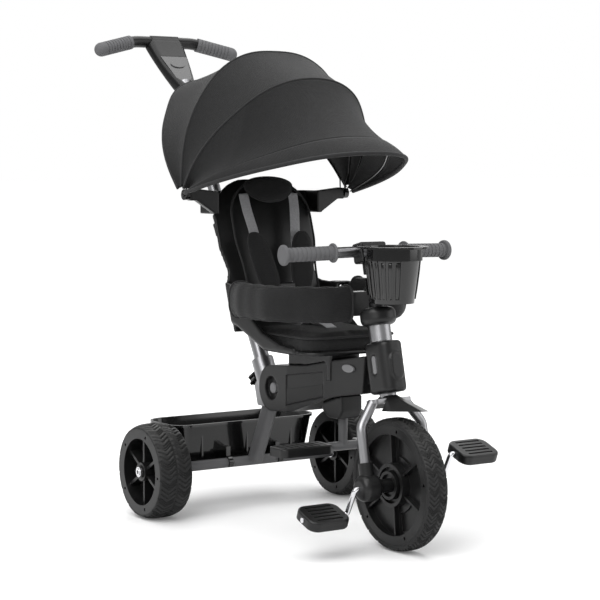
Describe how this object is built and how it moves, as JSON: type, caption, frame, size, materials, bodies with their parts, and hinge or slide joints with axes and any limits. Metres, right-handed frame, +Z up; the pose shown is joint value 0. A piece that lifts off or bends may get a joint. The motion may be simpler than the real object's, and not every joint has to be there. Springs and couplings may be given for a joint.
{
  "type": "children's tricycle",
  "caption": "Push-along children's tricycle with reclined padded seat, safety ring, folding canopy, push handle, pedal front wheel, cup holder and rear bin.",
  "frame": {"origin": "middle of the bounding box, on the ground under the wheels", "axes": "+Z up, the rider looks along -Y, +X is the rider's left"},
  "size_m": [0.5504, 1.0536, 1.0096],
  "materials": {
    "satin_plastic": "satin moulded grain",
    "gloss_plastic": "gloss black",
    "wheel_plastic": "satin black",
    "tyre_foam": "moulded tread",
    "frame_metal": "silver powder coat",
    "steel": "bright plate",
    "handle_paint": "dark grey gloss",
    "grip_rubber": "soft ribbed",
    "grey_plastic": "light grey satin",
    "cloth": "woven polyester",
    "strap": "webbing",
    "badge_plastic": "light grey"
  },
  "bodies": {
    "frame": {"rear_axle": "steel", "rear_frame": "frame_metal", "axle_rings": "steel", "steering_head": "satin_plastic", "steering_bushes": "wheel_plastic", "side_insets": "grey_plastic", "frame_spine": "frame_metal", "body_shell_left": "satin_plastic", "body_shell_right": "satin_plastic", "pole_lower": "frame_metal", "pole_collar": "satin_plastic", "footrest_block": "satin_plastic", "footrest_bar": "frame_metal", "storage_bin": "gloss_plastic", "seat_shell": "satin_plastic", "seat_pad": "cloth", "back_pad": "cloth", "headrest": "cloth", "harness_straps": "strap", "shoulder_pads": "cloth", "buckle": "satin_plastic", "canopy_brackets": "grey_plastic", "canopy_bow_rear": "steel"},
    "rear_wheel_left": {"rear_tyre_left": "tyre_foam", "rear_rim_left": "wheel_plastic"},
    "rear_wheel_right": {"rear_tyre_right": "tyre_foam", "rear_rim_right": "wheel_plastic"},
    "steering": {"fork": "frame_metal", "fork_ends": "satin_plastic", "column_cover": "frame_metal", "stem_cover": "satin_plastic", "bar_clamp": "satin_plastic", "handlebar": "frame_metal", "grips": "grip_rubber", "cup_holder": "gloss_plastic", "mudguard": "satin_plastic"},
    "front_wheel": {"front_tyre": "tyre_foam", "front_rim": "gloss_plastic"},
    "crank_axle": {"crank": "steel"},
    "pedal_left": {"pedal_left": "satin_plastic"},
    "pedal_right": {"pedal_right": "satin_plastic"},
    "hip_button_left": {"hip_button_left": "grey_plastic"},
    "hip_button_right": {"hip_button_right": "grey_plastic"},
    "clamp_knob": {"clamp_knob": "satin_plastic"},
    "height_button": {"height_button": "gloss_plastic"},
    "push_handle": {"pole_upper": "frame_metal", "handle_neck": "handle_paint", "handle_badge": "badge_plastic", "handle_bow": "handle_paint", "handle_grips": "grip_rubber"},
    "foot_plate_left": {"foot_plate_left": "satin_plastic"},
    "foot_plate_right": {"foot_plate_right": "satin_plastic"},
    "ring_left": {"ring_arm_left": "cloth"},
    "ring_right": {"ring_arm_right": "cloth"},
    "canopy_mid": {"canopy_bow_mid": "steel", "canopy_cloth_rear": "cloth"},
    "canopy_front": {"canopy_bow_front": "steel", "canopy_cloth_mid": "cloth"},
    "canopy_visor": {"canopy_visor": "cloth", "canopy_cloth_front": "cloth"}
  },
  "joints": [
    {"name": "rear_wheel_left_spin", "type": "hinge", "parent": "frame", "child": "rear_wheel_left", "pos_m": [0.235, 0.12115, 0.097], "axis": [1, 0, 0], "continuous": true},
    {"name": "rear_wheel_right_spin", "type": "hinge", "parent": "frame", "child": "rear_wheel_right", "pos_m": [-0.235, 0.12115, 0.097], "axis": [1, 0, 0], "continuous": true},
    {"name": "steering_turn", "type": "hinge", "parent": "frame", "child": "steering", "pos_m": [0, -0.40185, 0.125], "axis": [0, 0.2215, 0.9751], "range_deg": [-30, 30]},
    {"name": "front_wheel_spin", "type": "hinge", "parent": "steering", "child": "front_wheel", "pos_m": [0, -0.40185, 0.125], "axis": [1, 0, 0], "continuous": true},
    {"name": "crank_spin", "type": "hinge", "parent": "steering", "child": "crank_axle", "pos_m": [0, -0.40185, 0.125], "axis": [1, 0, 0], "continuous": true},
    {"name": "pedal_left_spin", "type": "hinge", "parent": "crank_axle", "child": "pedal_left", "pos_m": [0.159, -0.42084, 0.17448], "axis": [1, 0, 0], "continuous": true},
    {"name": "pedal_right_spin", "type": "hinge", "parent": "crank_axle", "child": "pedal_right", "pos_m": [-0.159, -0.38285, 0.07552], "axis": [1, 0, 0], "continuous": true},
    {"name": "hip_button_left_press", "type": "slide", "parent": "frame", "child": "hip_button_left", "axis": [-1, 0, 0], "range_m": [0, 0.003], "stiffness_N_per_m": 700, "springref_m": -0.002},
    {"name": "hip_button_right_press", "type": "slide", "parent": "frame", "child": "hip_button_right", "axis": [1, 0, 0], "range_m": [0, 0.003], "stiffness_N_per_m": 700, "springref_m": -0.002},
    {"name": "clamp_knob_turn", "type": "hinge", "parent": "frame", "child": "clamp_knob", "pos_m": [0, 0.09316, 0.27779], "axis": [0, 0.8738, -0.4863], "range_deg": [-180, 180]},
    {"name": "height_button_press", "type": "slide", "parent": "frame", "child": "height_button", "axis": [0, -0.8738, 0.4863], "range_m": [0, 0.003], "stiffness_N_per_m": 700, "springref_m": -0.002},
    {"name": "push_handle_slide", "type": "slide", "parent": "frame", "child": "push_handle", "axis": [0, 0.4863, 0.8738], "range_m": [-0.18, 0]},
    {"name": "foot_plate_left_fold", "type": "hinge", "parent": "frame", "child": "foot_plate_left", "pos_m": [0.0955, -0.21485, 0.1725], "axis": [-1, 0, 0], "range_deg": [0, 85]},
    {"name": "foot_plate_right_fold", "type": "hinge", "parent": "frame", "child": "foot_plate_right", "pos_m": [-0.0955, -0.21485, 0.1725], "axis": [-1, 0, 0], "range_deg": [0, 85]},
    {"name": "ring_left_open", "type": "hinge", "parent": "frame", "child": "ring_left", "pos_m": [0.134, -0.02885, 0.455], "axis": [0, 0, 1], "range_deg": [0, 100]},
    {"name": "ring_right_open", "type": "hinge", "parent": "frame", "child": "ring_right", "pos_m": [-0.134, -0.02885, 0.455], "axis": [0, 0, -1], "range_deg": [0, 100]},
    {"name": "canopy_mid_fold", "type": "hinge", "parent": "frame", "child": "canopy_mid", "pos_m": [0, 0.06315, 0.66], "axis": [-1, 0, 0], "range_deg": [0, 38], "deforming": ["canopy_cloth_rear"]},
    {"name": "canopy_front_fold", "type": "hinge", "parent": "canopy_mid", "child": "canopy_front", "pos_m": [0, 0.06315, 0.66], "axis": [-1, 0, 0], "range_deg": [0, 20.01], "deforming": ["canopy_cloth_mid"]},
    {"name": "canopy_visor_fold", "type": "hinge", "parent": "canopy_front", "child": "canopy_visor", "pos_m": [0, 0.06315, 0.66], "axis": [-1, 0, 0], "range_deg": [0, 21.51], "deforming": ["canopy_cloth_front"]}
  ],
  "couplings": [
    {"joint": "crank_spin", "follows": "front_wheel_spin", "ratio": 1},
    {"joint": "canopy_front_fold", "follows": "canopy_mid_fold", "ratio": 0.52632},
    {"joint": "canopy_visor_fold", "follows": "canopy_mid_fold", "ratio": 0.56579}
  ]
}
